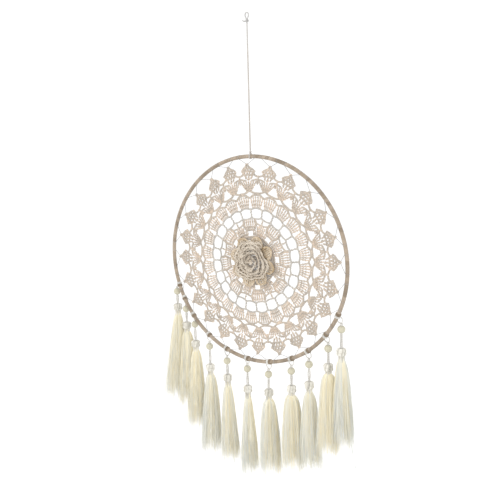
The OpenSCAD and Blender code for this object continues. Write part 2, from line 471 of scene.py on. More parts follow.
def post(tubes, foot, head, width=0.4, turns=1.0, wraps=1, low=0.45):
    """A treble: two strands twisted round each other, with the yarn thrown over across the middle."""
    foot, head = np.asarray(foot, float), np.asarray(head, float)
    axis = head - foot
    across = unit(np.cross(axis, FRONT))
    out = unit(np.cross(across, axis))
    phase = uniform(-0.5, 0.5)
    t = np.linspace(0, 1, 11)[:, None]
    for start in (0, math.pi):
        angle = start + phase + TAU * turns * t
        swell = width * (0.8 + 0.35 * t)
        strand = foot + axis * t + across * swell * np.cos(angle) + out * width * 0.8 * np.sin(angle)
        tubes.add(strand, YARN_R * uniform(0.92, 1.08), tone=uniform(low, low + 0.55))
    for w in range(wraps):
        middle = foot + axis * ((w + 1) / (wraps + 1) + uniform(-0.04, 0.04))
        a = circle(8)
        loop = middle + across * 0.86 * np.cos(a) + out * 0.9 * np.sin(a) + unit(axis) * 0.8 * np.cos(a + 0.4)
        tubes.add(loop, YARN_R * 0.75, closed=True, sides=5, tone=uniform(low - 0.35, low + 0.15))


def chain(tubes, route, stitch=2.5, width=0.66, closed=False, radius=YARN_R, low=0.0, normal=FRONT):
    """A row of chain stitches along a route of many points, each a loop drawn through the one before."""
    route = np.asarray(route, float)
    if closed:
        route = np.vstack([route, route[:1]])
    along = measured(route)
    count = max(1, int(round(along[-1] / stitch)))
    length = along[-1] / count
    angle = np.arange(9) * TAU / 9
    s = 0.5 + 0.78 * np.cos(angle)
    lateral = width * np.sin(angle) * (1 - 0.3 * np.cos(angle))
    height = 0.42 * np.cos(angle)
    normals = np.broadcast_to(np.asarray(normal, float), route.shape)
    for k in range(count):
        at = (k + s) * length
        if closed:
            at = at % along[-1]
        inside = np.clip(at, 0, along[-1])
        p = np.stack([np.interp(inside, along, route[:, c]) for c in range(3)], -1)
        probe = np.clip((k + 0.5) * length + np.array([-0.3, 0.3]) * length, 0, along[-1])
        ends = np.stack([np.interp(probe, along, route[:, c]) for c in range(3)], -1)
        n = unit(np.array([np.interp(probe[0], along, normals[:, c]) for c in range(3)]))
        direction = unit(ends[1] - ends[0])
        p = p + direction * (at - inside)[:, None]
        across = unit(np.cross(direction, n))
        wobble = uniform(-0.12, 0.12, 3)
        loop = p + across * lateral[:, None] + n * height[:, None] + wobble
        thick = radius * uniform(0.93, 1.07)
        tubes.add(loop, thick, closed=True, tone=uniform(low, low + 0.45))


# --- the doily's own coordinates
def spot(r, a, y=0.0):
    """Point at radius r and a degrees round from the doily's first leaf, y behind its middle plane."""
    t = np.radians(DOILY_TURN + np.asarray(a, float))
    r = np.asarray(r, float)
    deep = np.broadcast_to(np.asarray(y, float), np.shape(r * t))
    return np.stack([r * np.cos(t), deep, HOOP_Z + r * np.sin(t)], -1)


# Slow waves that settle() nudges the doily with: two of frequency, three of phase and three of size each
WAVES = [(uniform(0.02, 0.05, 2), uniform(0, TAU, 3), uniform(0.5, 1, 3)) for _ in range(5)]


def settle(points):
    """Handwork is never quite regular: the doily is nudged a little, except at the flower and at the hoop."""
    slack, belly = 0.55, 0.45
    x, z = points[:, 0], points[:, 2] - HOOP_Z
    r = np.hypot(x, z)
    hold = np.clip((119.3 - r) / 8, 0, 1) * np.clip((r - 24) / 14, 0, 1)
    move = np.zeros_like(points)
    for k, (wave, phase, size) in enumerate(WAVES):
        turn = k * 1.3
        field = wave[0] * (x * math.cos(turn) + z * math.sin(turn)) * 2.2
        for axis in range(3):
            move[:, axis] += size[axis] * np.sin(field + phase[axis] + wave[1] * 20)
    drift = np.clip((118.5 - r) / 16, 0, 1)[:, None] * np.array([1.5, 0, 0.1])
    return points + move * hold[:, None] * np.array([slack, belly, slack]) + drift


def doily_mesh_round(tubes):
    """The open round: a ring of chain, twenty-four thin bars and a second ring."""
    a = np.linspace(0, 360, 480, endpoint=False)
    scallop = ((1 + np.cos(np.radians(LEAF_COUNT * a))) / 2) ** 1.5
    chain(tubes, spot(50.0 + 1.2 * scallop, a), 2.6, width=0.5, closed=True, radius=0.52)
    chain(tubes, spot(62.8 - 1.4 * scallop, a, 0.15), 2.5, width=0.55, closed=True, radius=0.52)
    for k in range(LEAF_COUNT):
        lean = jitter(0.35)
        post(tubes, spot(50.6, PITCH * k + jitter(0.2)), spot(61.8, PITCH * k + lean), 0.36, 2.0, 2, 0.2)
        for r in (51.8, 60.7):
            wrap_knot(tubes, spot(r, PITCH * k + lean * 0.5, -0.2), 1.15)


def wrap_knot(tubes, centre, size, turns=2):
    """A small tight knot of yarn seen from the front."""
    for j in range(turns):
        angle = np.arange(8) * TAU / 8
        turn = uniform(0, math.pi)
        ring = size * np.stack([np.cos(angle), 0.45 * np.sin(angle + turn), np.sin(angle)], -1)
        tilt = uniform(0, math.pi)
        c, s = math.cos(tilt), math.sin(tilt)
        ring = ring * np.array([1, 1, 0.7])
        ring = ring @ np.array([[c, 0, s], [0, 1, 0], [-s, 0, c]])
        tubes.add(centre + ring + uniform(-0.12, 0.12, 3), 0.5, closed=True, sides=6)


def doily_shells(tubes):
    """The round of shells: six trebles fan out from each gap, under two rows that part at round holes."""
    for k in range(LEAF_COUNT):
        middle = PITCH * (k + 0.5) + jitter(0.35)
        for i in range(6):
            share = (i - 2.5) / 2.5
            foot = spot(63.2 + jitter(0.2), middle + share * 4.6, jitter(0.2))
            reach = 74.3 - 0.7 * share**2 + jitter(0.25)
            head = spot(reach, middle + share * 6.2 + jitter(0.15), jitter(0.2))
            post(tubes, foot, head, 0.4, 1.3, 2)
        for i in range(6):
            wrap_knot(tubes, spot(74.8, middle + (i - 2.5) * 2.4, -0.2), 0.8, 1)
    a = np.linspace(0, 360, 1440, endpoint=False)
    off = (a + PITCH / 2) % PITCH - PITCH / 2
    bulge = np.exp(-((off / 2.8) ** 2))
    chain(tubes, spot(77.4 - 3.2 * bulge, a, -0.1), 2.3, closed=True)
    chain(tubes, spot(79.3 + 2.6 * bulge, a, 0.1), 2.3, closed=True)
    for k in range(LEAF_COUNT):
        for b in (-1.8, 0, 1.8):
            wrap_knot(tubes, spot(78.4, PITCH * (k + 0.5) + b, -0.2), 0.95, 1)


def doily_fans(tubes):
    """The round of tall fans: seven long trebles from one stitch, with a chain from each fan to the next."""
    for k in range(LEAF_COUNT):
        tilt = gauss(0, 0.35)
        for i in range(7):
            share = (i - 3) / 3
            foot = spot(82.8 - 0.6 * abs(share) + jitter(0.2), PITCH * k + share * 2.3, share * 0.1)
            head = spot(93.0 + jitter(0.3), PITCH * k + share * 6.5 + tilt, jitter(0.2))
            post(tubes, foot, head, 0.42, 1.5, 3)
        wrap_knot(tubes, spot(82.8, PITCH * k, -0.3), 1.2, 2)
        for r, b in ((90.6, 0), (92.4, -0.8), (92.4, 0.8), (94.6, 0)):
            wrap_knot(tubes, spot(r, PITCH * (k + 0.5) + b, -0.2), 1.15, 2)
        a = PITCH * k + np.linspace(2.6, 12.4, 30)
        chain(tubes, spot(94.0 - 1.3 * np.cos(np.radians(LEAF_COUNT * a)), a), 2.4)


# How far each leaf leans, in degrees, how much longer it is and how much wider
LEAVES = [(gauss(0, 0.55), uniform(-1.2, 0.3), uniform(-0.06, 0.05)) for _ in range(LEAF_COUNT)]
LEAF_ROOT, LEAF_RISE = 96, 18


def leaf_tip(k):
    """Radius and angle of the tip of leaf k."""
    tilt, long, _ = LEAVES[k]
    return TIP_R + long - 0.3, PITCH * k + tilt


def leaf_place(k):
    """Places leaf k's points: r from the fans out, a off its middle, leaning as this leaf leans."""
    tilt, long, wide = LEAVES[k]

    def place(r, a, y=0.0):
        rise = np.clip((r - LEAF_ROOT) / LEAF_RISE, 0, 1)
        return spot(r + long * rise, a * (1 + wide * rise) + tilt * rise + PITCH * k, y)

    return place


# Each row of a leaf: its two radii, its stitches, and half its width in degrees at foot and head
LEAF_ROWS = [(94.8, 100.2, 3, 1.9, 2.7), (100.6, 104.8, 4, 2.7, 3.5), (105.2, 108.6, 3, 2.3, 1.9)]
# One side of a leaf's edge from the valley to the tip: radius and degrees off its middle
LEAF_EDGE = [(98.8, -7.5), (99.4, -6.2), (100.6, -4.6), (102.4, -4.1), (104.4, -4.4)]
LEAF_EDGE += [(106.4, -4.3), (108.0, -3.5), (109.6, -2.3), (111.0, -1.1), (113.2, -0.45)]
LEAF_KNOTS = [(101.2, 4.0), (103.4, 3.9), (105.6, 4.4), (107.6, 3.0), (110.0, 1.6)]


def leaf_stitches(tubes):
    """Inside each leaf: three rows of trebles, each closed by a row of chain."""
    for k in range(LEAF_COUNT):
        at = leaf_place(k)
        for r0, r1, stitches, foot_a, head_a in LEAF_ROWS:
            for i in range(stitches):
                share = 2 * i / (stitches - 1) - 1
                foot = at(r0 + 0.5 * abs(share) + jitter(0.2), share * foot_a, jitter(0.25))
                head = at(r1 - 0.7 * share**2 + jitter(0.3), share * head_a + jitter(0.15), jitter(0.3))
                post(tubes, foot, head, 0.5, 1.0, 2)
            shares = np.linspace(-1, 1, 9)
            line = [at(r1 + 0.4 - 0.9 * share**2, share * (head_a + 0.5), -0.1) for share in shares]
            chain(tubes, spline(line, 26), 1.9)
        for share in (-0.3, 0.3):
            foot, head = at(109.2, share * 4, -0.1), at(111.6, share * 2, -0.1)
            post(tubes, foot, head, 0.42, 0.8, 1)
        wrap_knot(tubes, at(95.2, 0, -0.2), 1.4, 2)


def leaf_edges(tubes):
    """Round each leaf: a chain edge with small knots that drops to a valley on either side."""
    for k in range(LEAF_COUNT):
        at = leaf_place(k)
        valley = PITCH * (k + 0.5)
        edge = LEAF_EDGE + [(r, -a) for r, a in LEAF_EDGE[::-1]]
        chain(tubes, spline([at(r, a, 0.1) for r, a in edge], 100), 2.35)
        for r, a in LEAF_KNOTS:
            for side in (-1, 1):
                place = at(r + jitter(0.5), side * a + jitter(0.3), -0.1)
                wrap_knot(tubes, place, uniform(0.85, 1.25), 1)
        wrap_knot(tubes, at(113.4, 0, -0.2), 1.75, 4)
        for side in (-1, 1):
            wrap_knot(tubes, at(105.6, side * 4.7, -0.2), 1.1, 2)
        post(tubes, spot(94.6, valley), spot(98.9, valley), 0.3, 1.0, 1)
        wrap_knot(tubes, spot(98.9, valley, -0.2), 1.1, 3)


def doily_centre(tubes):
    """Eight rounded blocks of trebles with pointed openings between them, on close rounds at the middle."""
    a = np.linspace(0, 360, 720, endpoint=False)
    for r in range(2, 27, 3):
        chain(tubes, spot(r, a, 0.3), 2.5, width=0.9, closed=True)
    chain(tubes, spot(28.6, a, 0.2), 2.5, closed=True)
    for k in range(8):
        middle = 45 * k + 5
        gap = middle + 22.5
        for i in range(6):
            share = (i - 2.5) / 2.5
            levels = [(36.8, 7.2), (40.0, 9.4), (44.0, 10.2), (47.4, 9.6), (49.6, 8.2)]
            belly = 0.3 * (1 - share**2)
            rib = [spot(r + jitter(0.2), middle + share * b, jitter(0.2) - belly) for r, b in levels]
            for foot, head in zip(rib[:-1:2], rib[2::2]):
                post(tubes, foot, head, 0.5, 0.9, 1)
        chain(tubes, spot(36.4, middle + np.linspace(-9, 9, 30)), 2.4)
        for side in (-1, 1):
            wall = [(36.4, 8.5), (40.0, 11.2), (44.5, 12.0), (49.2, 10.4)]
            web = [(45.4, 12.0), (43.8, 16.5), (43.2, 22.5)]
            for line, count in ((wall, 30), (web, 24)):
                points = [spot(r, middle + side * b, 0.1) for r, b in line]
                chain(tubes, spline(points, count), 2.4, width=0.5)
            for b, c in ((8.6, 6.8), (12.2, 11.0)):
                foot, head = spot(28.8, middle + side * b, 0.1), spot(36.2, middle + side * c, 0.1)
                post(tubes, foot, head, 0.42, 0.9, 1)
        for i in range(5):
            share = (i - 2) / 2
            foot = spot(29.0, gap + share * 6.5, 0.1)
            head = spot(42.6 - 1.2 * share**2, gap + share * 7.4 + jitter(0.3), jitter(0.2))
            post(tubes, foot, head, 0.42, 1.6, 3)
        post(tubes, spot(43.4, gap), spot(50.0, gap), 0.3, 1.2, 1, 0.2)
        wrap_knot(tubes, spot(43.0, gap, -0.2), 1.2, 3)


# --- the flower
def petal_point(turn, u, v):
    """Point on one back petal: u from -1 to 1 across it, v from 0 at its root to 1 at its rounded edge."""
    r = 12 + 18.0 * v * (1 - 0.2 * u * u)
    across = u * (3.3 + 3.9 * np.sin(np.clip(v, 0, 1) * 2.2))
    t = math.radians(turn)
    radial = np.array([math.cos(t), 0, math.sin(t)])
    side = np.array([-math.sin(t), 0, math.cos(t)])
    lift = -2.1 - 1.9 * v * v - 1.2 * u * u * v + 0.7 * np.cos(3 * u + turn)
    return radial * r + side * across + np.array([FLOWER_SHIFT, lift, HOOP_Z])


def flower_petals(tubes):
    """Eight flat petals of trebles, each in two rows with a chain between them and one round its rim; the
    inner row, at the roots under the rose, is darkened with painted shade.
    """
    for k in range(8):
        turn = 30 + 45 * k + jitter(2.5)
        for i in range(6):
            u = (i - 2.5) / 2.5
            for low, high in ((0.02, 0.55), (0.53, 0.95)):
                foot = petal_point(turn, u * 0.9, low)
                head = petal_point(turn, u * 0.95 + jitter(0.04), high)
                # Painted shade: the inner row at the petals' roots gets a darker tone than the outer row.
                post(tubes, foot, head, 0.42, 1.0, 2, 0.1 if low < 0.3 else 0.45)
        rim = [(-1.02, v) for v in (0.35, 0.6, 0.8)] + [(u, 1.0) for u in np.linspace(-0.95, 0.95, 9)]
        rim = rim + [(1.02, v) for v in (0.8, 0.6, 0.35)]
        chain(tubes, spline([petal_point(turn, u, v) for u, v in rim], 80), 2.3)
        middle = [petal_point(turn, u, 0.53) for u in np.linspace(-0.95, 0.95, 7)]
        chain(tubes, spline(middle, 30), 2.3)


def rose_point(s, v, offset=0.0):
    """Point on the rolled ruffle: s from 0 at the outer end to 1 at the heart, v from 0 at its foot to 1 at
    its edge, offset from it outwards."""
    s = np.clip(s, 0, 1)
    angle = TAU * ROSE_TURNS * (1 - (1 - s) ** 1.4) + 0.9
    foot_r = 18.2 * (1 - s) ** 0.9 + 0.9
    wave = 14 * math.pi * s**0.82
    scallop = np.abs(np.sin(wave)) ** 0.5
    reach = (0.62 + 0.38 * scallop) * v
    tall = (3.0 + 3.8 * s) * reach
    ruffle = (1.7 * np.sin(wave * 2.3 + 1) + 0.7 * np.sin(wave * 5.1)) * reach
    flare = (5.4 - 4.4 * s) * reach**1.4 + ruffle * (1 - 0.7 * s)
    r = foot_r + flare + offset
    curl = 1.8 * np.clip(v - 0.6, 0, 1) * (1 - s) + 0.7 * np.sin(wave * 3.1) * v * (1 - s)
    return np.stack([FLOWER_SHIFT + r * np.cos(angle), -4.2 - tall + curl, HOOP_Z + r * np.sin(angle)], -1)


def flower_rose(tubes):
    """A long scalloped strip of trebles rolled into a rose, with its edge rolled outwards, and painted shade
    that darkens the strip towards its foot.
    """
    stations = 150
    for i in range(stations):
        s = np.full(6, i / stations + jitter(0.0015))
        centre = rose_point(s[0], 0.5)
        step = rose_point(s[0] + 0.002, 0.5) - centre
        outward = unit(rose_point(s[0], 0.5, 1.0) - centre)
        for low, high in ((0.0, 0.5), (0.48, 0.97)):
            v = np.linspace(low, high, 6)
            line = rose_point(s, v)
            twist = uniform(0, TAU)
            for start in (0, math.pi):
                angle = start + twist + 4.5 * np.linspace(0, 1, 6)[:, None]
                strand = line + unit(step) * 0.4 * np.cos(angle) + outward * 0.34 * np.sin(angle)
                # Painted shade: tone rises from the strip's foot to its edge, so the strip is darker down in
                # the roll.
                tubes.add(strand, 0.42, tone=np.clip(v * 0.7 + 0.1 + jitter(0.2), 0, 1))
    s = np.linspace(0, 0.995, 900)
    # Painted shade: the middle chain gets a darker tone than the edge chain.
    for v, low in ((1.0, 0.5), (0.5, 0.3)):
        route = rose_point(s, np.full(900, v))
        outward = rose_point(s, np.full(900, v), 1.0) - route
        chain(tubes, route, 2.1, 0.55, radius=0.36, low=low, normal=outward * 0.6 + FRONT * 0.8)
    picots, half = 420, 0.0024
    for i in range(picots):
        at = (i + 0.5) / picots
        out = np.array([0.96, uniform(1.05, 1.4), 0.96])
        ends = rose_point(np.array([at - half, at, at + half]), out)
        ends[1] += uniform(-0.8, 0.8, 3)
        tubes.add(spline(ends, 7), 0.4, sides=5, tone=uniform(0.0, 1))
    for i in range(16):
        angle = i * 2.4
        r = 0.55 * math.sqrt(i)
        x, z = FLOWER_SHIFT + r * math.cos(angle), HOOP_Z + r * math.sin(angle)
        wrap_knot(tubes, np.array([x, -9.2 + 0.25 * r * r, z]), 1.0, 2)


# --- hoop, lacing and loops
def hoop_frame(angle):
    """Middle of the hoop at an angle, with its outward and forward-turning directions."""
    t = np.radians(angle)
    out = np.stack([np.cos(t), np.zeros_like(t), np.sin(t)], -1)
    along = np.stack([-np.sin(t), np.zeros_like(t), np.cos(t)], -1)
    return np.array([0, 0, HOOP_Z]) + HOOP_R * out, out, along


def hoop_turn(angle, count, lift, shift):
    """One turn of cord round the hoop, lift off its wrapping and moved along it by shift(angle)."""
    centre, out, along = hoop_frame(np.array(float(angle)))
    turn = circle(count)
    return centre + along * shift(turn) + (WRAP_D / 2 + lift) * (out * np.cos(turn) + BACK * np.sin(turn))


def hoop_tape():
    """Tape wound round the wire: one long spiral surface, stepped where each turn laps the last."""
    turns, sides, turn_length = 172, 20, 4.46
    part = np.array([0.0, 0.04, 0.2, 0.45, 0.7, 0.9, 0.985])
    rise = np.array([0.0, 0.16, 0.19, 0.2, 0.19, 0.17, 0.15])
    lap = len(part)
    index = np.arange(turns * lap)
    own = index // lap
    place = own + part[index % lap]
    tone_of_turn = random.random(turns)
    wobble = uniform(-0.05, 0.05, turns)
    j = np.arange(sides)
    along = (place[:, None] + wobble[own][:, None] + j[None, :] / sides) / turns * 360
    centre, out, _ = hoop_frame(along)
    around = j / sides * TAU
    r = WRAP_D / 2 - 0.24 + rise[index % lap][:, None] + 0.03 * np.sin(3 * around + place[:, None] * 0.7)
    ring = np.cos(around)[None, :, None] * out + np.sin(around)[None, :, None] * FRONT
    points = centre + r[..., None] * ring
    total = turns * lap
    i, k = np.meshgrid(np.arange(total), np.arange(sides), indexing="ij")
    shift = np.where(k == sides - 1, lap, 0)
    after = (k + 1) % sides
    a, b, c = (i + 1) % total, (i + shift) % total, ((i + 1) % total + shift) % total
    quad = np.stack([i * sides + k, b * sides + after, c * sides + after, a * sides + k], -1)
    near = place[i] * turn_length
    far = np.where(i == total - 1, turns, place[a]) * turn_length
    uv = quad_uv(k / sides, (k + 1) / sides, near, far)
    return quad_arrays(points, quad, uv, np.repeat(tone_of_turn[own], sides))


def ply(tubes, route, strands=2, radius=0.34, spread=0.3, pitch=3.2, closed=False, sides=6):
    """Strands twisted together along a route of points."""
    route = np.asarray(route, float)
    along = measured(route)
    whole = along[-1] + (np.linalg.norm(route[0] - route[-1]) if closed else 0)
    turns = max(1, round(whole / pitch)) if closed else whole / pitch
    _, normal, side = (f[0] for f in frames(route[None], closed))
    phase = uniform(0, TAU)
    for k in range(strands):
        angle = (phase + TAU * k / strands + TAU * turns * along / whole)[:, None]
        strand = route + spread * (normal * np.cos(angle) + side * np.sin(angle))
        tubes.add(strand, radius, closed=closed, sides=sides)


def lacing(tubes):
    """Fine thread from each leaf's tip out to the hoop on both sides, with a turn round it at each foot."""
    spread = 5
    for k in range(LEAF_COUNT):
        r, a = leaf_tip(k)
        tip = settle(spot(np.array([r]), np.array([a]), 0.1))[0]
        for side in (-1, 1):
            angle = DOILY_TURN + PITCH * k + side * spread
            centre, out, _ = hoop_frame(np.array(angle))
            foot = centre - out * (WRAP_D / 2 + 0.1)
            tubes.add(np.array([tip, (tip + foot) / 2 + jitter(0.1), foot]), 0.28, sides=6, tone=0.45)
            ring = hoop_turn(angle, 20, 0.02, lambda turn: 0.3 * np.sin(turn / 2))
            tubes.add(ring, 0.16, closed=True, sides=5, tone=0.5)
        wrap_knot(tubes, tip + 0.3 * FRONT, 0.55, 1)


def knot_place(i):
    """Middle of one tassel's knot, from the CAD's hinge there."""
    name = "tassel_%s_swing" % TASSELS[i]
    joint = [j for j in frame["joints"] if j["name"] == name][0]
    return np.array(joint["pos_m"]) / MM


def loop_turns(tubes):
    """Two turns of each tassel's cord, side by side round the hoop."""
    for angle in LOOP_ANGLES:
        for side in (-1, 1):
            ring = hoop_turn(angle, 36, 0.55, lambda turn: side * 0.68 + 0.2 * np.sin(turn))
            ply(tubes, ring, 2, 0.36, 0.28, 3.0, closed=True)


def stop_turns(tubes):
    """Three turns of dark yarn beside each tassel's loop, which keep it from sliding."""
    for angle in LOOP_ANGLES:
        for step, lift in ((2.2, 0.25), (3.1, 0.4), (4.0, 0.2)):
            ring = hoop_turn(angle, 36, lift, lambda turn: step + 0.35 * np.sin(turn))
            ply(tubes, ring, 2, 0.42, 0.28, 2.4, closed=True)


def open_loops(tubes):
    """Each tassel's open loop behind the hoop, from its turns down to the knot."""
    for i, angle in enumerate(LOOP_ANGLES):
        centre = hoop_frame(np.array(float(angle)))[0]
        knot = knot_place(i)
        start = np.array([centre[0], knot[1], centre[2]])
        run = knot - start
        down = run / np.linalg.norm(run)
        across = np.cross(down, BACK)
        far = np.linalg.norm(run) - 1.5
        half, middle = (far - 0.5) / 2, start + down * (far + 0.5) / 2
        wide = min(half, 4.1)
        t = circle(40)
        oval = middle - down * half * np.cos(t) + across * wide * np.sin(t) * (0.86 - 0.14 * np.cos(t))
        oval = oval + BACK * (0.25 * np.sin(2 * t) - 0.3 * np.cos(t))
        ply(tubes, oval, 2, 0.42, 0.32, 3.0, closed=True)


# --- tassels
def cord_bundle(tubes, i):
    """The knot under the loop and the doubled cord that runs through the bead into the head."""
    knot = knot_place(i)
    t = circle(20)
    for tilt in (0.35, -0.5, 1.3):
        lift = np.sin(t + tilt * 2) * 0.75 * math.sin(tilt + 1)
        ring = knot + np.concatenate([1.25 * np.cos(t), 1.2 * np.sin(t), lift], 1)
        ply(tubes, ring, 2, 0.36, 0.25, 2.6, closed=True)
    foot = node_box("tassel_%s_cord" % TASSELS[i])[0][2]
    under_bead = node_box("tassel_%s_bead" % TASSELS[i])[0][2]
    head_top = node_box("tassel_%s_head" % TASSELS[i])[1][2]
    z = np.linspace(knot[2] + 0.6, foot, 40)
    middle = np.stack([np.full(40, knot[0]), np.full(40, knot[1]), z], -1)
    phase = uniform(0, TAU)
    free = np.clip((under_bead - z) / (under_bead - head_top), 0, 1)
    apart = 0.58 + 0.85 * np.sin(free * math.pi) ** 0.6
    for k in range(4):
        angle = phase + k * TAU / 4 + (z - z[0]) / 34 * math.pi
        ply(tubes, middle + upright(apart, angle), 2, 0.4, 0.28, 2.6)
    ply(tubes, middle, 2, 0.5, 0.34, 2.6)


def lathe(profile, sides, centre, tone):
    """A turned form from (radius, height) points, closed round and closed through its bore."""
    profile = np.array(profile, float)[::-1]
    rows = len(profile)
    points = centre + upright(profile[:, :1], np.arange(sides) * TAU / sides, profile[:, 1:])
    i, j = np.meshgrid(np.arange(rows), np.arange(sides), indexing="ij")
    a, b = (i + 1) % rows, (j + 1) % sides
    quad = np.stack([i * sides + j, i * sides + b, a * sides + b, a * sides + j], -1)
    uv = quad_uv(j / sides, (j + 1) / sides, i / rows, (i + 1) / rows)[:, ::-1]
    return quad_arrays(points, quad, uv, np.full(rows * sides, tone))


def bead(i):
    """A turned wooden bead: a ball with a flat and a softened bore at either end."""
    low, high = node_box("tassel_%s_bead" % TASSELS[i])
    r, half, bore = (high[1] - low[1]) / 2, (high[2] - low[2]) / 2, 1.2
    edge = math.sqrt(r * r - half * half)
    rim = math.asin(half / r) * 0.97
    profile = [(bore + 0.25, half - 0.05), (edge - 0.35, half)]
    profile += [(r * math.cos(lat), r * math.sin(lat)) for lat in np.linspace(rim, -rim, 15)]
    profile += [(edge - 0.35, -half), (bore + 0.25, -half + 0.05), (bore, -half + 0.5), (bore, half - 0.5)]
    return lathe(profile, 48, (low + high) / 2, random.random())


def head(tubes, i):
    """The turban: strands drawn over two bulging rows and nipped between them by a few turns of thread, with
    short legs that cover the neck of the skirt."""
    low, high = node_box("tassel_%s_head" % TASSELS[i])
    centre = (low + high) / 2
    outer = (high[0] - low[0]) / 2 - 0.55
    half = (high[2] - low[2]) / 2 - 0.45
    rows = [(0.36, 1.0), (0.66, 1.02), (0.93, 0.8), (1.0, 0.48), (0.92, 0.16), (0.84, 0.0)]
    rows = rows + [(0.93, -0.16), (1.0, -0.46), (0.93, -0.78), (0.7, -1.0), (0.42, -1.02)]
    line = spline([(r * outer, 0, z * half) for r, z in rows], 30)
    count = 30
    tilt = uniform(0.25, 0.55)
    for k in range(count):
        angle = TAU * k / count + jitter(0.04) + tilt * (0.5 - np.linspace(0, 1, 30))
        r = line[:, 0] + uniform(-0.16, 0.12) + 0.12 * np.sin(np.linspace(0, 9, 30) + k)
        strand = centre + upright(r, angle, line[:, 2])
        tubes.add(strand, 0.56 + jitter(0.06), sides=7, tone=random.random())
    t = circle(48)
    for lift, r in ((0.35, outer * 0.9), (-0.3, outer * 0.9), (0.02, outer * 0.93)):
        ring = centre + np.concatenate([r * np.cos(t), r * np.sin(t), lift + 0.2 * np.sin(t + lift * 9)], 1)
        tubes.add(ring, 0.3, closed=True, sides=6, tone=0.3)
    for k in range(9):
        angle = TAU * k / 9 + jitter(0.15) + np.linspace(0, jitter(0.4), 8)
        z = np.linspace(1.0, -7.5, 8)
        r = np.interp(-z, [-1.0, 1, 4.0, 7.5], [3.5, 3.2, 3.1, 4.0])
        leg = np.array([centre[0], centre[1], low[2]]) + upright(r, angle, z)
        thick = np.interp(-z, [-1.0, 0, 5, 7.5], [0.85, 0.75, 0.6, 0.15])
        tubes.add(leg, thick, sides=7, tone=uniform(0.2, 0.8))




def skirt(tubes, i):
    """Many hundred fine strands from under the head in loose locks: flaring, with ragged wispy ends."""
    low, high = node_box("tassel_%s_skirt" % TASSELS[i])
    centre, top = (low + high) / 2, high[2]
    length = top - low[2]
    neck, neck_long = 2.7, 5.5
    count, steps, locks, furthest = 1200, 18, 110, 18
    even = np.linspace(0, 1, steps)
    thick = np.interp(even, [0, 0.25, 0.75, 1], [0.19, 0.18, 0.16, 0.06])
    lock_angle = uniform(0, TAU, locks)
    lock_bend = gauss(0, 1, (locks, 2))
    lock_reach = np.clip(gauss(0.01, 0.06, locks), -0.17, 0.08)
    lock_out = uniform(0.25, 1.0, locks) ** 0.5
    lock_tone = gauss(0, 0.38, locks)
    for k in range(count):
        lock = random.integers(locks)
        angle = lock_angle[lock] + gauss(0, 0.1)
        share = lock_out[lock] * uniform(0.84, 1.06)
        if k % 3 < 1:
            angle, share = uniform(0, TAU), uniform(0.7, 0.95)
        stray = random.random() < 0.06
        reach = length * (SKIRT_REACH[i] + lock_reach[lock] - min(0.1 * random.exponential(1.0), 0.5))
        drop = reach * even**1.25
        way = drop / length
        open_out = np.clip((drop - neck_long) / (length - neck_long), 0, 1.2) ** SKIRT_FLARE[i]
        r = (neck + (SKIRT_WIDE[i] - neck) * open_out) * share
        r = np.where(drop < neck_long, neck * min(share, 0.95), r)
        pull = lock_bend[lock] * 1.5 + gauss(0, 1.1, 2) + (gauss(0, 3.0, 2) if stray else 0)
        wave = uniform(4, 9)
        swing = pull[0] * way**2 + gauss(0, 0.5) * np.sin(way * wave + angle) * way
        bend = pull[1] * way**2 * 0.6 + gauss(0, 0.5) * np.sin(way * wave - angle) * way
        lean = way**1.5
        across = r * math.cos(angle) + swing + SKIRT_LEAN[i] * lean
        x = centre[0] + np.clip(across, -furthest, furthest)
        y = centre[1] + 0.85 * r * math.sin(angle) + bend + 0.8 * min(SKIRT_LEAN[i], 0) * lean
        tint = SKIRT_TINT[i] + 0.22 * math.cos(angle + 0.6) + lock_tone[lock] + gauss(0, 0.2)
        tint = np.clip(tint + 0.12 - 0.3 * way, 0, 1)
        tubes.add(np.stack([x, y, top + 0.8 - drop], -1), thick, sides=3, tone=tint)
    for across, end in SKIRT_STRAYS.get(i, []):
        way = even * end
        x = centre[0] + across * even + 0.6 * np.sin(way * 7)
        y = centre[1] - 3.0 * np.sin(way * 2) + 0.5 * np.sin(way * 5)
        tubes.add(np.stack([x, y, top - way * length], -1), 0.42, sides=5, tone=0.0)


# --- hanging cord
def hanging_cord(tubes):
    """Three strands laid round the cord's route, paler towards the top."""
    route = spline(CORD_ROUTE, 420)
    tone = np.interp(route[:, 2], [-151, -60, -10], [0.1, 0.4, 0.95])
    for k in range(3):
        angle = TAU * k / 3 + route[:, 2] / CORD_LAY * TAU
        tubes.add(route + upright(0.42, angle), 0.47, sides=8, tone=np.clip(tone + jitter(0.05), 0, 1))


def top_knot(tubes):
    """A trefoil of cord, with the cord's two ends leaving it and a short cut tail with a frayed tip."""
    centre = TOP_KNOT_Z * UP
    t = circle(60)
    trefoil = np.concatenate([
        (np.sin(t) + 2 * np.sin(2 * t)) * 0.5,
        (np.cos(t) - 2 * np.cos(2 * t)) * 0.5,
        -np.sin(3 * t) * 0.95,
    ], 1)
    ply(tubes, centre + trefoil, 3, 0.42, 0.38, CORD_LAY, closed=True)
    for sign in (-1, 1):
        ply(tubes, centre + sign * np.outer([0, 1.2, 2.6], UP), 3, 0.45, 0.4, CORD_LAY)
    tail = [[-0.8, 0, -8.2], [-2.4, -0.3, -8.4], [-4.0, -0.2, -8.2], [-5.2, 0.1, -7.6]]
    ply(tubes, spline(tail, 16), 3, 0.42, 0.4, CORD_LAY)
    for k in range(14):
        turn = uniform(0, TAU)
        way = np.array([0, math.cos(turn), math.sin(turn)])
        end = np.array([-6.2 + jitter(0.5), 0.1, -7.3]) + 0.9 * way
        start = np.array([-5.0, 0.1, -7.7]) + 0.4 * way
        tubes.add(np.array([start, (start + end) / 2 + jitter(0.1), end]), 0.1, sides=4, tone=0.9)


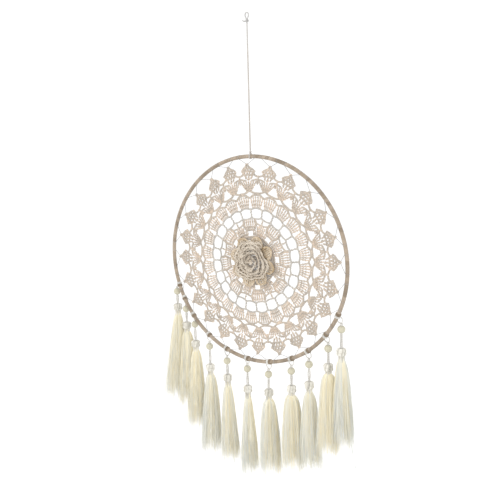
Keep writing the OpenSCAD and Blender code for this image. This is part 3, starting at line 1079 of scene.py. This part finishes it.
def hang_eye(tubes):
    """The loop that hangs on the nail."""
    route = [[0.2, 0, -6.6], [1.5, 0, -4.4], [2.3, 0, -1.8], [1.63, 0, 0.2], [0, 0, 0.9]]
    route = route + [[-x, y, z] for x, y, z in route[-2::-1]]
    ply(tubes, spline(route, 60), 3, 0.42, 0.4, CORD_LAY)


def tie_knot(tubes):
    """Three tight rings of cord round the cord's end."""
    centre = TIE_KNOT_Z * UP
    t = circle(24)
    for tilt, size in ((0.5, 1.05), (-0.6, 1.0), (0.1, 1.1)):
        ring = centre + np.concatenate([size * np.cos(t), size * np.sin(t), 0.8 * tilt * np.sin(t + tilt)], 1)
        tubes.add(ring, 0.5, closed=True, sides=7, tone=0.15)
    ply(tubes, centre + np.outer([2.0, 0.8, -1.0], UP), 3, 0.46, 0.4, CORD_LAY)


def tie_loop(tubes):
    """The cord's end goes twice round the wrapped hoop and back up into its knot."""
    r = WRAP_D / 2 + 0.42
    t = np.linspace(0, TAU, 40)[:-1]
    high = np.clip(np.cos(t), 0, 1)
    for side in (-1, 1):
        across = side * 0.45 * (1 - 0.5 * high**2)
        ring = np.stack([across, r * np.sin(t), HOOP_TOP + r * np.cos(t) + 1.6 * high**8], -1)
        tubes.add(ring, 0.44, closed=True, sides=8, tone=0.12)


# --- putting it together
def strand_piece(name, build, material, body, nodes, warp=False):
    """One piece of what build adds to a set of tubes, settled with the doily if warp is asked."""
    strands = Tubes()
    build(strands)
    arrays = strands.arrays()
    if warp:
        arrays[0] = settle(arrays[0])
    return mesh_piece(name, arrays, material, body, nodes)


make_camera()

cord_yarn = yarn_material(
    "cord_yarn", (0.45, 0.39, 0.34), (0.54, 0.5, 0.46), (0.58, 0.58, 0.57), 3, 1.6, 0.85, 0.2
)
end_yarn = yarn_material(
    "cord_end_yarn", (0.42, 0.41, 0.4), (0.52, 0.51, 0.5), (0.6, 0.6, 0.59), 3, 1.6, 0.85, 0.2
)
cord = strand_piece("hanging_cord", hanging_cord, cord_yarn, "cord", ["hang_cord"])
knot_piece = strand_piece("hanging_knot", top_knot, end_yarn, "top_knot", ["top_knot"])
eye_piece = strand_piece("hanging_eye", hang_eye, end_yarn, "hanger", ["hang_eye"])

make_stage()

crochet_yarn = yarn_material("crochet_yarn", (0.41, 0.38, 0.34), (0.56, 0.5, 0.43), (0.8, 0.65, 0.52))
net_yarn = yarn_material("net_yarn", (0.42, 0.405, 0.38), (0.55, 0.52, 0.48), (0.7, 0.64, 0.56))
# petal_yarn's dark brown end is painted shade at the petals' roots.
petal_yarn = yarn_material("petal_yarn", (0.38, 0.26, 0.12), (0.66, 0.56, 0.43), (0.82, 0.72, 0.58))
# rose_yarn's dark brown end is painted shade down in the rose's rolls.
rose_yarn = yarn_material("rose_yarn", (0.28, 0.21, 0.14), (0.66, 0.58, 0.48), (0.8, 0.73, 0.63))
stop_yarn = yarn_material("stop_yarn", (0.16, 0.12, 0.08), (0.26, 0.2, 0.14), (0.36, 0.29, 0.21))
tape = yarn_material("hoop_tape", (0.24, 0.19, 0.14), (0.36, 0.29, 0.22), (0.46, 0.38, 0.3), 12, 1.0, 0.85)
white_cord = yarn_material(
    "white_cord", (0.56, 0.55, 0.52), (0.72, 0.7, 0.66), (0.86, 0.85, 0.81), 2, 1.4, 0.6, 0.2
)
thread = yarn_material("lacing_thread_yarn", (0.3, 0.3, 0.3), (0.4, 0.4, 0.4), (0.5, 0.5, 0.5), 2, 0.8, 0.5)

strand_piece("tie_knot_strands", tie_knot, cord_yarn, "tie_knot", ["tie_knot"])
strand_piece("tie_turns", tie_loop, cord_yarn, "hoop", ["tie_loop"])
mesh_piece("hoop_tape", hoop_tape(), tape, "hoop", ["hoop_wrap"])
for name, build, yarn in (
    ("centre", doily_centre, crochet_yarn), ("open_round", doily_mesh_round, net_yarn),
    ("shell_round", doily_shells, crochet_yarn), ("fan_round", doily_fans, crochet_yarn),
    ("leaf_stitches", leaf_stitches, crochet_yarn), ("leaf_edges", leaf_edges, crochet_yarn),
):
    strand_piece("doily_" + name, build, yarn, "hoop", ["doily"], True)
for name, build, yarn, slot, nodes in (
    ("flower_back_petals", flower_petals, petal_yarn, "flower_yarn", ["flower_petals"]),
    ("flower_rolled_rose", flower_rose, rose_yarn, "flower_yarn", ["flower_rose"]),
    ("lacing", lacing, thread, "lacing", ["lacing_thread"]),
    ("hoop_stop_turns", stop_turns, stop_yarn, "hoop_wrapping", []),
    ("tassel_loop_turns", loop_turns, white_cord, "tassel_cord", ["loop_turns"]),
    ("tassel_open_loops", open_loops, white_cord, "tassel_cord", ["tassel_loops"]),
):
    strand_piece(name, build, yarn, "hoop", nodes)

wood = wood_material()
# The skirt silk emits 0.09 of painted light to lift its shade; the heads emit none.
silk = silk_material("tassel_silk", (0.69, 0.71, 0.68), (0.85, 0.83, 0.72), (0.87, 0.79, 0.56), 0.09)
head_silk = silk_material("tassel_head_silk", (0.38, 0.36, 0.3), (0.62, 0.59, 0.52), (0.82, 0.8, 0.73), 0.0)
for i, n in enumerate(TASSELS):
    name, drop = "tassel_" + n, "drop_" + n
    strand_piece(
        name + "_doubled_cord", lambda t: cord_bundle(t, i), white_cord, drop, [name + "_cord"]
    )
    mesh_piece(name + "_turned_bead", bead(i), wood, drop, [name + "_bead"])
    strand_piece(name + "_turban", lambda t: head(t, i), head_silk, name, [name + "_head"])
    strand_piece(name + "_strands", lambda t: skirt(t, i), silk, name, [name + "_skirt"])

for slot in frame["nodes"]["hoop_ring"].material_slots:
    slot.material = steel_material()
